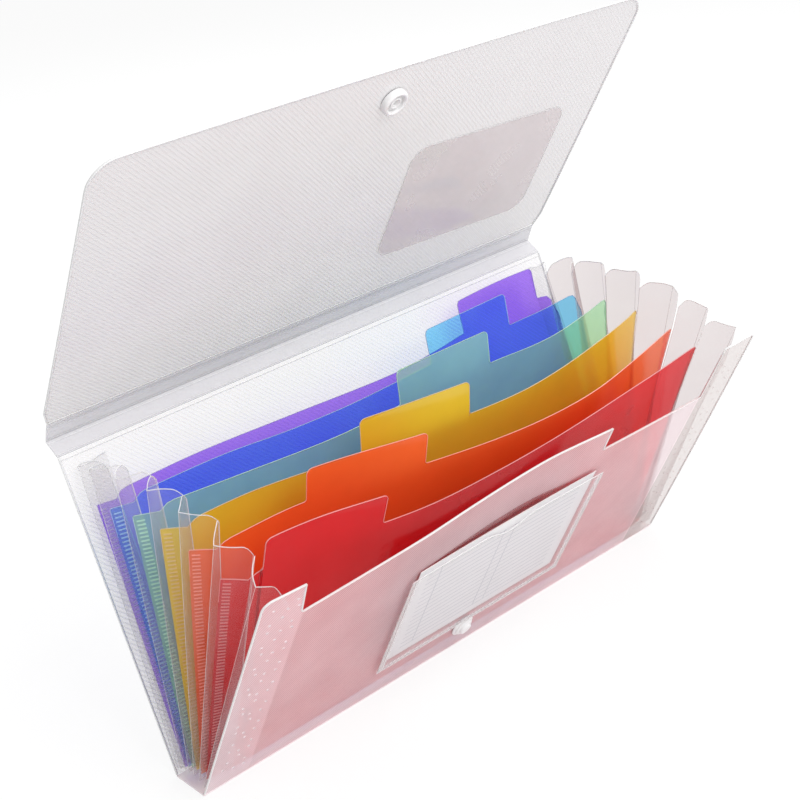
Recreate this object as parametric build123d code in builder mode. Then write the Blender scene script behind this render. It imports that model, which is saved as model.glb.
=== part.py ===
"""An accordion file folder of clear polypropylene, standing open on its bottom strip.

X runs across the folder, the front faces -Y and Z is up. The origin is on the floor, under the middle of
the bottom strip. Sheets are placed by their shut position and then fanned open, so that the fan's creases
line up both ways. A lean is the angle of a sheet from upright, positive when its top goes to the back.
"""

from build123d import *
import os
from math import cos, radians, sin

os.makedirs("parts", exist_ok=True)

# Cover sheet
folder_width = 262.0
bottom_depth = 18.0
back_height = 133.0
front_height = 130.0
spine_lower_width = 8.5
spine_upper_width = 8.5
flap_below_socket = 15.8
flap_overhang = 2.4
flap_chamfer_length = 8.0
flap_corner_radius = 11.0
cover_thickness = 0.6
crease_gap = 0.1
open_crease_gap = 0.8

# Front panel's stepped top edge
ear_width = 20.5
ear_corner_radius = 6.0
left_ear_drop = 3.6
left_ear_slant = 2.4
front_mid_height_left = 108.5
front_mid_height_right = 113.5
front_mid_rise = 3.0
front_step_x = 49.5
front_low_height = 101.0

# Leans at rest
back_lean_deg = 18.9
divider_leans_deg = (13.2, 8.5, 1.2, -6.3, -14.3, -22.3)
front_lean_deg = -29.5
spine_lower_lean_deg = 56.3
spine_upper_lean_deg = -23.9
flap_lean_deg = -33.6

# Leans with the folder shut, when the back is upright and the flap lies along the front
front_shut_lean_deg = 2.5
spine_lower_shut_lean_deg = -68.0
spine_upper_shut_lean_deg = -111.6
flap_shut_lean_deg = front_shut_lean_deg - 180

# Dividers
divider_colours = ("purple", "blue", "green", "yellow", "orange", "red")
divider_thickness = 0.4
divider_foot = 1.5
divider_height = 114.5
tab_top = 129.0
tab_width = 50.0
tab_span = 224.0
tab_corner_radius = 2.4
flange_height = 111.5
flange_share = 0.76
flange_foot_offset = 0.8
divider_foot_bow = 0.4
nest_gap = 0.27

# Gussets
film_thickness = 0.25
gusset_height = 128.0
gusset_inset = 0.5
gusset_depth_top = 11.0
gusset_depth_foot = 15.0
gusset_weld_width = 19.0
film_gap = 0.2

# Label pocket and card on the front
pocket_width = 104.0
pocket_foot = 22.5
pocket_height = 63.0
pocket_film = 0.3
pocket_weld = 4.5
thumb_notch_width = 23.0
thumb_notch_depth = 4.0
card_width = 92.5
card_height = 60.0
card_thickness = 0.3
card_slack = 0.15

# Press stud on the front and its socket on the flap
snap_radius = 5.0
snap_disc = 0.5
stud_height = 16.0
stud_neck_radius = 2.2
stud_head_radius = 2.6
stud_head = 0.9
stud_length = 2.3
shank_radius = 1.2
shank_gap = 0.05
socket_length = 2.2
socket_gap = 0.5
rim_round = 0.2

# Smooth patch on the flap
patch_width = 89.0
patch_height = 61.0
patch_thickness = 0.15
patch_corner_radius = 8.0
patch_x = 68.0
patch_foot = 22.0

half_width = folder_width / 2
half_cover = cover_thickness / 2
crease_setback = half_cover + crease_gap
pockets = len(divider_colours) + 1
pitch = bottom_depth / pockets


def along(point, lean, distance):
    """The (y, z) point at a distance from another, up a sheet with this lean."""
    return (point[0] + distance * sin(radians(lean)), point[1] + distance * cos(radians(lean)))


def tilt(point, centre, angle):
    """A (y, z) point turned about a centre, its top towards the back for a positive angle."""
    dy, dz = point[0] - centre[0], point[1] - centre[1]
    c, s = cos(radians(angle)), sin(radians(angle))
    return (centre[0] + dy * c + dz * s, centre[1] - dy * s + dz * c)


def turn_centre(start, end, angle):
    """The centre of the tilt by this angle that carries one (y, z) point to another."""
    moved = tilt(start, (0, 0), angle)
    vy, vz = end[0] - moved[0], end[1] - moved[1]
    c, s = cos(radians(angle)), sin(radians(angle))
    return (((1 - c) * vy + s * vz) / (2 * (1 - c)), ((1 - c) * vz - s * vy) / (2 * (1 - c)))


def sheet_plane(base, lean):
    """A sheet's plane through its base: X across, Y up the sheet, Z out of its front."""
    return Plane((0, *base), x_dir=(1, 0, 0), z_dir=(0, -cos(radians(lean)), sin(radians(lean))))


def level_plane(base, lean, height):
    """The plane across a sheet at a height up it: X across, Y to the back."""
    z_dir = (0, sin(radians(lean)), cos(radians(lean)))
    return Plane((0, *along(base, lean, height)), x_dir=(1, 0, 0), z_dir=z_dir)


def crease_bead(point):
    """The round bead along a crease, on which the next panel turns."""
    with BuildSketch(Plane((-half_width, *point), x_dir=(0, 1, 0), z_dir=(1, 0, 0))) as section:
        Circle(half_cover)
    extrude(section.sketch, amount=folder_width)


def save(piece, name):
    """Labels a finished piece and writes it to its file."""
    piece.part.label = name
    export_step(piece.part, f"parts/{name}.step")


# Where the sheets stand: the back is sheet 0, the dividers follow it and the front is last
crease_back = (bottom_depth / 2, half_cover)
crease_front = (-bottom_depth / 2, half_cover)
leans = (back_lean_deg, *divider_leans_deg, front_lean_deg)
shut_leans = [front_shut_lean_deg * i / pockets for i in range(pockets + 1)]
turns = [leans[i] - shut_leans[i] - back_lean_deg for i in range(pockets + 1)]
fan_axis = turn_centre(tilt(crease_front, crease_back, back_lean_deg), crease_front, turns[pockets])
shut_bases = [(crease_back[0] - pitch * i, half_cover) for i in range(pockets + 1)]
bases = [
    tilt(tilt(shut_bases[i], crease_back, back_lean_deg), fan_axis, turns[i]) for i in range(pockets + 1)
]


def spine_creases(back, lower, upper):
    """The three creases above the back panel, for the leans of the back and of the two spine strips."""
    first = along(crease_back, back, back_height)
    second = along(first, lower, spine_lower_width)
    return first, second, along(second, upper, spine_upper_width)


spine_leans = (back_lean_deg, spine_lower_lean_deg, spine_upper_lean_deg)
crease_lower, crease_middle, crease_flap = spine_creases(*spine_leans)

# The socket's place on the flap is where the stud is when the folder is shut
shut_flap_crease = spine_creases(0, spine_lower_shut_lean_deg, spine_upper_shut_lean_deg)[2]
shut_stud = along(crease_front, front_shut_lean_deg, stud_height)
socket_height = (shut_stud[0] - shut_flap_crease[0]) * sin(radians(flap_shut_lean_deg)) + (
    shut_stud[1] - shut_flap_crease[1]
) * cos(radians(flap_shut_lean_deg))
flap_length = socket_height + flap_below_socket

back_plane = sheet_plane(crease_back, back_lean_deg)
front_plane = sheet_plane(crease_front, front_lean_deg)
front_face = front_plane.offset(half_cover)
front_inside = front_plane.offset(-half_cover)
spine_lower_plane = sheet_plane(crease_lower, spine_lower_lean_deg)
spine_upper_plane = sheet_plane(crease_middle, spine_upper_lean_deg)
flap_plane = sheet_plane(crease_flap, flap_lean_deg)
flap_inside = flap_plane.offset(half_cover)
flap_outside = flap_plane.offset(-half_cover)


# Cover panels
with BuildPart() as bottom_strip:
    with BuildSketch(Plane.YZ.offset(-half_width)):
        with Locations((0, half_cover)):
            SlotCenterToCenter(bottom_depth, cover_thickness)
    extrude(amount=folder_width)
save(bottom_strip, "bottom_strip")


def plain_panel(plane, length, top_crease):
    """A full-width panel from its lower crease to the bead of the crease above it."""
    with BuildSketch(plane) as outline:
        with Locations((0, crease_setback)):
            Rectangle(folder_width, length - crease_setback, align=(Align.CENTER, Align.MIN))
    extrude(outline.sketch, amount=half_cover, both=True)
    crease_bead(top_crease)


with BuildPart() as back_panel:
    plain_panel(back_plane, back_height, crease_lower)
save(back_panel, "back_panel")

with BuildPart() as spine_lower:
    plain_panel(spine_lower_plane, spine_lower_width, crease_middle)
save(spine_lower, "spine_lower")

with BuildPart() as spine_upper:
    plain_panel(spine_upper_plane, spine_upper_width, crease_flap)
save(spine_upper, "spine_upper")

flap_half = half_width + flap_overhang
with BuildPart() as flap_panel:
    with BuildSketch(flap_plane) as flap_outline:
        with BuildLine():
            Polyline(
                (-half_width, crease_setback),
                (half_width, crease_setback),
                (flap_half, flap_chamfer_length),
                (flap_half, flap_length),
                (-flap_half, flap_length),
                (-flap_half, flap_chamfer_length),
                close=True,
            )
        make_face()
        fillet(flap_outline.vertices().group_by(Axis.Y)[-1], flap_corner_radius)
        with Locations((0, socket_height)):
            Circle(shank_radius + shank_gap, mode=Mode.SUBTRACT)
    extrude(amount=half_cover, both=True)
save(flap_panel, "flap_panel")

ear_inner = half_width - ear_width
left_ear_height = front_height - left_ear_drop
front_foot = crease_setback + open_crease_gap
mid_middle_x = (front_step_x - ear_inner) / 2
mid_middle_height = (front_mid_height_left + front_mid_height_right) / 2 + front_mid_rise
with BuildPart() as front_panel:
    with BuildSketch(front_plane) as front_outline:
        with BuildLine():
            ThreePointArc(
                (-ear_inner, front_mid_height_left),
                (mid_middle_x, mid_middle_height),
                (front_step_x, front_mid_height_right),
            )
            Polyline(
                (front_step_x, front_mid_height_right),
                (front_step_x, front_low_height),
                (ear_inner, front_low_height),
                (ear_inner, front_height),
                (half_width, front_height),
                (half_width, front_foot),
                (-half_width, front_foot),
                (-half_width, left_ear_height),
                (-ear_inner - left_ear_slant, left_ear_height),
                (-ear_inner, front_mid_height_left),
            )
        make_face()
        sides = front_outline.vertices().group_by(Axis.X)
        fillet([sides[0].sort_by(Axis.Y)[-1], sides[-1].sort_by(Axis.Y)[-1]], ear_corner_radius)
        with Locations((0, stud_height)):
            Circle(shank_radius + shank_gap, mode=Mode.SUBTRACT)
    extrude(amount=half_cover, both=True)
save(front_panel, "front_panel")

# Smooth patch on the inside of the flap
with BuildPart() as flap_patch:
    with BuildSketch(flap_inside):
        with Locations((patch_x, patch_foot + patch_height / 2)):
            RectangleRounded(patch_width, patch_height, patch_corner_radius)
    extrude(amount=patch_thickness)
save(flap_patch, "flap_patch")


# Press stud and socket
def disc(plane, height, radius, thickness):
    """A round step on a panel's face, at a height up the panel."""
    with BuildSketch(plane) as outline:
        with Locations((0, height)):
            Circle(radius)
    extrude(outline.sketch, amount=thickness)


with BuildPart() as snap_stud:
    disc(front_face, stud_height, snap_radius, snap_disc)
    fillet(snap_stud.edges().sort_by(Axis.Y)[0], rim_round)
    disc(front_face, stud_height, stud_neck_radius, stud_length)
    disc(front_face.offset(stud_length - stud_head), stud_height, stud_head_radius, stud_head)
    fillet(snap_stud.edges().sort_by(Axis.Y)[0], rim_round)
    disc(front_face, stud_height, shank_radius, -cover_thickness)
save(snap_stud, "snap_stud")

with BuildPart() as snap_backing:
    disc(front_inside, stud_height, snap_radius, -snap_disc)
    fillet(snap_backing.edges().sort_by(Axis.Y)[-1], rim_round)
save(snap_backing, "snap_backing")

with BuildPart() as snap_socket:
    disc(flap_inside, socket_height, snap_radius, socket_length)
    fillet(snap_socket.edges().sort_by(Axis.Y)[0], rim_round)
    with BuildSketch(flap_inside):
        with Locations((0, socket_height)):
            Circle(stud_head_radius + socket_gap)
    extrude(amount=socket_length, mode=Mode.SUBTRACT)
save(snap_socket, "snap_socket")

with BuildPart() as snap_cap:
    disc(flap_outside, socket_height, snap_radius, -snap_disc)
    fillet(snap_cap.edges().sort_by(Axis.Y)[-1], rim_round)
    disc(flap_outside, socket_height, shank_radius, cover_thickness)
save(snap_cap, "snap_cap")

# Label pocket: a film welded to the front on three sides, raised to hold the card
slot_depth = card_thickness + 2 * card_slack
window_width = pocket_width - 2 * pocket_weld
window_foot = pocket_foot + pocket_weld
pocket_top = pocket_foot + pocket_height
with BuildPart() as label_pocket:
    with BuildSketch(front_face):
        with Locations((0, pocket_foot)):
            Rectangle(pocket_width, pocket_height, align=(Align.CENTER, Align.MIN))
    extrude(amount=pocket_film)
    with BuildSketch(front_face):
        with Locations((0, window_foot)):
            Rectangle(window_width, pocket_top - window_foot, align=(Align.CENTER, Align.MIN))
    extrude(amount=slot_depth + pocket_film)
    with BuildSketch(front_face):
        with Locations((0, window_foot + pocket_film)):
            slot_width = window_width - 2 * pocket_film
            Rectangle(slot_width, pocket_height, align=(Align.CENTER, Align.MIN))
    extrude(amount=slot_depth, mode=Mode.SUBTRACT)
    with BuildSketch(front_face):
        with BuildLine():
            ThreePointArc(
                (-thumb_notch_width / 2, pocket_top),
                (0, pocket_top - thumb_notch_depth),
                (thumb_notch_width / 2, pocket_top),
            )
            Line((thumb_notch_width / 2, pocket_top), (-thumb_notch_width / 2, pocket_top))
        make_face()
    extrude(amount=slot_depth + pocket_film, mode=Mode.SUBTRACT)
save(label_pocket, "label_pocket")

card_foot = window_foot + pocket_film + card_slack
with BuildPart() as index_card:
    with BuildSketch(front_face.offset(card_slack)):
        with Locations((0, card_foot)):
            Rectangle(card_width, card_height, align=(Align.CENTER, Align.MIN))
    extrude(amount=card_thickness)
save(index_card, "index_card")


# Dividers: a bowed sheet with a tab, and a flange at each end that folds to the back
outer_fold_x = half_width - gusset_inset
inner_fold_top_x = outer_fold_x - gusset_depth_top
inner_fold_foot_x = outer_fold_x - gusset_depth_foot
flange_top_x = inner_fold_top_x + flange_share * gusset_depth_top
flange_foot_x = inner_fold_foot_x + flange_share * gusset_depth_foot
shut_pitch_top = (bottom_depth - tab_top * sin(radians(front_shut_lean_deg))) / pockets
nest_step = shut_pitch_top - divider_thickness - nest_gap
tab_step = (tab_span - tab_width) / (len(divider_colours) - 1)


def divider_section(plane, fold_x, flange_x, flange_offset, bow):
    """The sheet's section at one height: flanges to the back, the middle bowed to the front."""
    half = divider_thickness / 2
    with BuildSketch(plane) as section:
        with BuildLine():
            Polyline(
                (-fold_x, half),
                (-flange_x, flange_offset + half),
                (-flange_x, flange_offset - half),
                (-fold_x, -half),
            )
            ThreePointArc((-fold_x, -half), (0, -bow - half), (fold_x, -half))
            Polyline(
                (fold_x, -half),
                (flange_x, flange_offset - half),
                (flange_x, flange_offset + half),
                (fold_x, half),
            )
            ThreePointArc((fold_x, half), (0, half - bow), (-fold_x, half))
        make_face()
    return section.sketch


def flange_offset_at_top(sheet):
    """How far a divider's flange folds back: a step more for each sheet, so that they nest when shut."""
    return nest_step * sheet


def at_height(foot, top, height):
    """A divider's size at a height, between its sizes at the foot and at the top of the tab."""
    return foot + (top - foot) * (height - divider_foot) / (tab_top - divider_foot)


for sheet, colour in enumerate(divider_colours, 1):
    base, lean = bases[sheet], leans[sheet]
    bow = nest_step * (pockets - sheet)
    tab_x = tab_span / 2 - tab_width / 2 - tab_step * (sheet - 1)
    with BuildPart() as divider:
        foot = divider_section(
            level_plane(base, lean, divider_foot),
            inner_fold_foot_x,
            flange_foot_x,
            flange_foot_offset,
            divider_foot_bow,
        )
        top = divider_section(
            level_plane(base, lean, tab_top),
            inner_fold_top_x,
            flange_top_x,
            flange_offset_at_top(sheet),
            bow,
        )
        loft([foot, top], ruled=True)
        with BuildSketch(sheet_plane(base, lean)):
            Rectangle(folder_width, flange_height, align=(Align.CENTER, Align.MIN))
            Rectangle(2 * inner_fold_foot_x, divider_height, align=(Align.CENTER, Align.MIN))
            with Locations((tab_x, 0)):
                RectangleRounded(tab_width, 2 * tab_top, tab_corner_radius)
        extrude(amount=folder_width, both=True, mode=Mode.INTERSECT)
    save(divider, f"divider_{colour}")


# Gussets: one V pleat of film for each pocket and side
film_offset = (divider_thickness + film_thickness) / 2 + film_gap
weld_offset = (cover_thickness + film_thickness) / 2 + film_gap


def film_outline(start, apex, path):
    """A pleat's outline around its fold: from the start to the apex, then back along the path."""
    half = film_thickness / 2
    first = path[0]
    rise = (start[1] + half - apex[1]) / (apex[0] - start[0])
    fall = (apex[1] - first[1] + half) / (apex[0] - first[0])
    fold = 2 * film_thickness / (rise + fall)
    inner_apex = (apex[0] - fold, apex[1] - film_thickness + rise * fold)
    outer = [(start[0], start[1] + half), apex, *((x, y - half) for x, y in path)]
    inner = [*((x, y + half) for x, y in reversed(path)), inner_apex, (start[0], start[1] - half)]
    return outer + inner


def pleat_section(sheet, height, fold_x, flange_x, flange_offset, side):
    """The section at one height of the pleat in front of a sheet, on the side of this sign."""
    rear = along(bases[sheet], leans[sheet], height)
    ahead = along(bases[sheet + 1], leans[sheet + 1], height)
    gap = Vector(0, rear[0] - ahead[0], rear[1] - ahead[1])
    middle = (0, (rear[0] + ahead[0]) / 2, (rear[1] + ahead[1]) / 2)
    plane = Plane(middle, x_dir=(1, 0, 0), z_dir=Vector(1, 0, 0).cross(gap))
    half = gap.length / 2
    weld_x = outer_fold_x - gusset_weld_width
    if sheet == 0:
        start, apex = (weld_x, half - weld_offset), (outer_fold_x, half - weld_offset)
    else:
        start, apex = (fold_x, half - film_offset - film_thickness - film_gap), (outer_fold_x, 0)
    if sheet == pockets - 1:
        apex = (outer_fold_x, weld_offset - half)
        path = [((weld_x + outer_fold_x) / 2, weld_offset - half), (weld_x, weld_offset - half)]
    else:
        path = [(flange_x, flange_offset - half - film_offset), (fold_x, -half - film_offset)]
    with BuildSketch(plane) as section:
        with BuildLine():
            Polyline(*((side * x, y) for x, y in film_outline(start, apex, path)), close=True)
        make_face()
    return section.sketch


for side, side_name in ((-1, "left"), (1, "right")):
    for sheet in range(pockets):
        with BuildPart() as pleat:
            foot = pleat_section(
                sheet, divider_foot, inner_fold_foot_x, flange_foot_x, flange_foot_offset, side
            )
            top = pleat_section(
                sheet,
                gusset_height,
                at_height(inner_fold_foot_x, inner_fold_top_x, gusset_height),
                at_height(flange_foot_x, flange_top_x, gusset_height),
                at_height(flange_foot_offset, flange_offset_at_top(sheet + 1), gusset_height),
                side,
            )
            loft([foot, top], ruled=True)
        save(pleat, f"gusset_{side_name}_{sheet + 1}")
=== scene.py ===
import bpy
from math import sin, cos, pi, radians
from mathutils import Matrix, Vector


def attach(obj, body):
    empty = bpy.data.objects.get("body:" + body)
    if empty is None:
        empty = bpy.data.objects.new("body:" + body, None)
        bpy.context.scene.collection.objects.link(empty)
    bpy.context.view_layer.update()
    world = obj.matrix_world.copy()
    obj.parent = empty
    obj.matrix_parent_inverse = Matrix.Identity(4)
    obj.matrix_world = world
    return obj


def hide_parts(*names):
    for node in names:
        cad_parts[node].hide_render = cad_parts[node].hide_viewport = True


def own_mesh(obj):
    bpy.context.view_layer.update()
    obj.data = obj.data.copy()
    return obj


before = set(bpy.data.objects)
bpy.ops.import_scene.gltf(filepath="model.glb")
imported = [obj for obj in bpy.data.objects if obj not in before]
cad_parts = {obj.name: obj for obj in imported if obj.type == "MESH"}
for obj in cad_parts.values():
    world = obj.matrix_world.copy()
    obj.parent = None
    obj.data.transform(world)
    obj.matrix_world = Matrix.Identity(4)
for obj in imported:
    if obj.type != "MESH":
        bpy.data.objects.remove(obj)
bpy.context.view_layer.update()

# Sizes in millimetres, the same as in the part
half_width = 131.0
bottom_depth = 18.0
half_cover = 0.3
back_height = 133.0
spine_lower_width = 8.5
spine_upper_width = 8.5
leans = (18.9, 13.2, 8.5, 1.2, -6.3, -14.3, -22.3, -29.5)
spine_lower_lean, spine_upper_lean, flap_lean = 56.3, -23.9, -33.6
front_shut_lean = 2.5
socket_height = 117.025
flap_length = socket_height + 15.8
stud_height = 16.0
colours = ("purple", "blue", "green", "yellow", "orange", "red")
chain = ("back", *colours, "front")
pockets = 7
back_sheet, front_sheet = 0, pockets

# One millimetre in metres, and in units of the flat map that the ribs and the card's ruling follow
mm = 0.001
flat_mm = 0.01


# Where the sheets stand, with points of the side view as (y, z)
def along(point, lean, distance):
    """The point at a distance up a line that leans this many degrees to the back."""
    return (point[0] + distance * sin(radians(lean)), point[1] + distance * cos(radians(lean)))


def tilt(point, centre, angle):
    """A point turned to the back about a centre."""
    dy, dz = point[0] - centre[0], point[1] - centre[1]
    c, s = cos(radians(angle)), sin(radians(angle))
    return (centre[0] + dy * c + dz * s, centre[1] - dy * s + dz * c)


def turn_centre(start, end, angle):
    """The centre about which a turn of this angle takes one point to another."""
    moved = tilt(start, (0, 0), angle)
    vy, vz = end[0] - moved[0], end[1] - moved[1]
    c, s = cos(radians(angle)), sin(radians(angle))
    return (((1 - c) * vy + s * vz) / (2 * (1 - c)), ((1 - c) * vz - s * vy) / (2 * (1 - c)))


crease_back = (bottom_depth / 2, half_cover)
crease_front = (-bottom_depth / 2, half_cover)
turns = [leans[i] - front_shut_lean * i / pockets - leans[0] for i in range(pockets + 1)]
fan_axis = turn_centre(tilt(crease_front, crease_back, leans[0]), crease_front, turns[pockets])
bases = []
for i in range(pockets + 1):
    shut = (crease_back[0] - bottom_depth * i / pockets, half_cover)
    bases.append(tilt(tilt(shut, crease_back, leans[0]), fan_axis, turns[i]))
crease_lower = along(crease_back, leans[0], back_height)
crease_middle = along(crease_lower, spine_lower_lean, spine_lower_width)
crease_flap = along(crease_middle, spine_upper_lean, spine_upper_width)


def place(base, lean, x, s, v=0.0):
    """A point on a leaning sheet: x across, s up the sheet, v out of its front."""
    a = radians(lean)
    return Vector((x, base[0] + s * sin(a) - v * cos(a), base[1] + s * cos(a) + v * sin(a)))


def spot(i, x, s, v=0.0):
    """A point on sheet i, where the back is 0, the dividers are 1 to 6 and the front is 7."""
    return place(bases[i], leans[i], x, s, v)


def front_of(lean):
    """The direction out of the front of a sheet."""
    return Vector((0, -cos(radians(lean)), sin(radians(lean))))


def through(knots, x):
    """A smooth value at x, between knots of (x, value)."""
    if x <= knots[0][0]:
        return knots[0][1]
    for k in range(len(knots) - 1):
        (a, va), (b, vb) = knots[k], knots[k + 1]
        if x <= b:
            before, after = knots[max(k - 1, 0)], knots[min(k + 2, len(knots) - 1)]
            ma = (vb - before[1]) / (b - before[0]) * (b - a)
            mb = (after[1] - va) / (after[0] - a) * (b - a)
            t = (x - a) / (b - a)
            return (
                (2 * t**3 - 3 * t**2 + 1) * va + (t**3 - 2 * t**2 + t) * ma
                + (3 * t**2 - 2 * t**3) * vb + (t**3 - t**2) * mb
            )
    return knots[-1][1]


# Mesh tools
class Net:
    """Collects points in millimetres and faces, and makes one object of them."""

    def __init__(self):
        self.points, self.uvs, self.faces, self.kinds = [], [], [], []

    def grid(self, lines, kind=0, uvs=None):
        """Faces between neighbouring lines of points."""
        start, n = len(self.points), len(lines[0])
        for a, line in enumerate(lines):
            self.points.extend(line)
            self.uvs.extend(uvs[a] if uvs else [(0.0, 0.0)] * n)
        for a in range(len(lines) - 1):
            for b in range(n - 1):
                p = start + a * n + b
                self.faces.append((p, p + n, p + n + 1, p + 1))
                self.kinds.append(kind)

    def make(self, name, materials):
        """The object, smooth, with its flat map and its materials."""
        mesh = bpy.data.meshes.new(name)
        mesh.from_pydata([p * mm for p in self.points], [], self.faces)
        mesh.polygons.foreach_set("material_index", self.kinds)
        mesh.polygons.foreach_set("use_smooth", [True] * len(self.faces))
        layer = mesh.uv_layers.new(name="flat")
        for loop in mesh.loops:
            u, w = self.uvs[loop.vertex_index]
            layer.data[loop.index].uv = (u * flat_mm, w * flat_mm)
        for material in materials:
            mesh.materials.append(material)
        obj = bpy.data.objects.new(name, mesh)
        bpy.context.scene.collection.objects.link(obj)
        return obj


def arc(cx, cy, radius, start, end, steps=7):
    """Points on an arc, with angles in degrees."""
    out = []
    for k in range(steps + 1):
        a = radians(start + (end - start) * k / steps)
        out.append((cx + radius * cos(a), cy + radius * sin(a)))
    return out


def finer(path, step=3.5):
    """The same path with its long runs divided."""
    out = [path[0]]
    for p, q in zip(path, path[1:]):
        d = ((q[0] - p[0]) ** 2 + (q[1] - p[1]) ** 2) ** 0.5
        n = max(1, int(d / step))
        for k in range(1, n + 1):
            out.append((p[0] + (q[0] - p[0]) * k / n, p[1] + (q[1] - p[1]) * k / n))
    return out


def skin(net, outline, foot, surf, rows, kind=0):
    """A sheet under an outline that runs from left to right, down to its foot."""
    upright = 1e-4
    runs, run = [], [outline[0]]
    for p, q in zip(outline, outline[1:]):
        if abs(q[0] - p[0]) < upright:
            runs.append(run)
            run = [q]
        else:
            run.append(q)
    runs.append(run)
    for run in runs:
        if len(run) < 2:
            continue
        lines, uvs = [], []
        for x, top in run:
            low = foot(x)
            ss = [low + (top - low) * k / rows for k in range(rows + 1)]
            lines.append([surf(x, s) for s in ss])
            uvs.append([(x, s) for s in ss])
        net.grid(lines, kind, uvs)


def edge(net, outline, surf, width, thick, kind=1):
    """A narrow bright rim along an outline: partly the whitish cut edge of thick plastic, partly a painted
    highlight where light catches it.
    """
    near = 0.4
    lines = []
    n = len(outline)
    for k in range(n):
        p, q = outline[max(k - 1, 0)], outline[min(k + 1, n - 1)]
        tx, ts = q[0] - p[0], q[1] - p[1]
        size = max((tx * tx + ts * ts) ** 0.5, 1e-6)
        ix, js = ts / size, -tx / size
        x, s = outline[k]
        a, b = surf(x, s), surf(x + ix * width, s + js * width)
        across, up = surf(x + near, s) - surf(x - near, s), surf(x, s + near) - surf(x, s - near)
        normal = across.cross(up).normalized() * (thick / 2)
        lines.append([a + normal, b + normal, b - normal, a - normal, a + normal])
    net.grid(lines, kind)


def bar(net, a, b, wide, high, kind=0):
    """A small four-sided bar from a to b, with its half width and half height as vectors."""
    ring = [wide, high, -wide, -high, wide]
    net.grid([[a + r for r in ring], [b + r for r in ring]], kind)


def lathe(net, centre, axis, profile, kind=0, steps=40):
    """A turned shape about an axis, from its (radius, height) profile."""
    axis = axis.normalized()
    u = Vector((1, 0, 0))
    w = axis.cross(u)
    lines = []
    for k in range(steps + 1):
        a = 2 * pi * k / steps
        out = u * cos(a) + w * sin(a)
        lines.append([centre + out * r + axis * h for r, h in profile])
    net.grid(lines, kind)


def dress(net, name, materials, body, slot, *nodes):
    """Makes the object of a net and fastens it to its body."""
    obj = net.make(name, materials)
    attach(obj, body)
    if nodes:
        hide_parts(*nodes)
    return obj


def flatten(obj, sheet):
    """Gives a piece on a sheet its own copy of its mesh. It works out the sheet's foot and the direction out
    of its front, but doesn't use them.
    """
    anchor = spot(sheet, 0, 0) * mm
    front_of(leans[sheet])
    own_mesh(obj)


# Materials
class Look:
    """The nodes of a material or world, with short ways to add and link them."""

    def __init__(self, tree):
        self.nodes, self.links = tree.nodes, tree.links
        self.nodes.clear()

    def add(self, kind, inputs=None, **settings):
        """A new node. Each of its inputs is set to a value, or linked from another node's output."""
        node = self.nodes.new(kind)
        for name, value in settings.items():
            setattr(node, name, value)
        for key, value in (inputs or {}).items():
            if isinstance(value, bpy.types.NodeSocket):
                self.links.new(value, node.inputs[key])
            else:
                node.inputs[key].default_value = value
        return node

    def maths(self, operation, *values):
        """The result of one operation on numbers or outputs."""
        return self.add("ShaderNodeMath", dict(enumerate(values)), operation=operation).outputs[0]

    def ramp(self, value, low, high, to_low, to_high):
        """A value taken from one range to another, and held inside it."""
        ends = {"From Min": low, "From Max": high, "To Min": to_low, "To Max": to_high}
        return self.add("ShaderNodeMapRange", {"Value": value, **ends}).outputs["Result"]

    def noise(self, at, scale, detail=2.0):
        """Soft noise from 0 to 1."""
        return self.add("ShaderNodeTexNoise", {"Vector": at, "Scale": scale, "Detail": detail}).outputs["Fac"]

    def blend(self, share, a, b):
        """A colour between two."""
        ends = {"A": (*a, 1), "B": (*b, 1)}
        return self.add("ShaderNodeMix", {"Factor": share, **ends}, data_type="RGBA").outputs["Result"]

    def mix(self, share, a, b):
        """A shader between two."""
        return self.add("ShaderNodeMixShader", {"Fac": share, 1: a, 2: b}).outputs["Shader"]

    def seen(self):
        """1 where the view, a reflection or a clear sheet shows the surface, and 0 where it lights others."""
        path = self.add("ShaderNodeLightPath").outputs
        seen = self.maths("MAXIMUM", path["Is Camera Ray"], path["Is Glossy Ray"])
        return self.maths("MAXIMUM", seen, path["Is Transmission Ray"])


def new_material(name):
    """An empty material and its nodes."""
    material = bpy.data.materials.new(name)
    material.use_nodes = True
    return material, Look(material.node_tree)


def front_haze(look, flat, share):
    """Makes the front milkier on its side strips and its foot, and less milky, so darker, in a crescent over
    the pocket: painted shade in the gap behind the pocket's open top.
    """
    strip_start, strip_end, foot_end, milkier = 109.0, 110.3, 4.0, 0.12
    crescent_half, crescent_rise, crescent_low, shade_clearing = 49.0, 6.2, 86.0, 0.26
    rim, foot_rim = 1.2, 1.0
    parts = look.add("ShaderNodeSeparateXYZ", {"Vector": flat})
    up = parts.outputs["Y"]
    sideways = look.maths("ABSOLUTE", parts.outputs["X"])
    strips = look.ramp(sideways, strip_start * flat_mm, strip_end * flat_mm, 0.0, milkier)
    foot = look.ramp(up, 0.0, foot_end * flat_mm, milkier, 0.0)
    share = look.maths("ADD", share, look.maths("MAXIMUM", strips, foot))
    # The crescent of painted shade: less haze there lets the red behind the front show darker.
    square = look.maths("POWER", look.maths("DIVIDE", sideways, crescent_half * flat_mm), 2.0)
    rise = look.maths("MULTIPLY", look.maths("SUBTRACT", 1.0, square), crescent_rise * flat_mm)
    over = look.maths("SUBTRACT", up, crescent_low * flat_mm)
    under = look.ramp(look.maths("SUBTRACT", rise, over), 0.0, rim * flat_mm, 0.0, 1.0)
    above = look.ramp(over, -foot_rim * flat_mm, foot_rim * flat_mm, 0.0, 1.0)
    crescent = look.maths("MULTIPLY", look.maths("MULTIPLY", under, above), shade_clearing)
    return look.maths("SUBTRACT", share, crescent)


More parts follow.
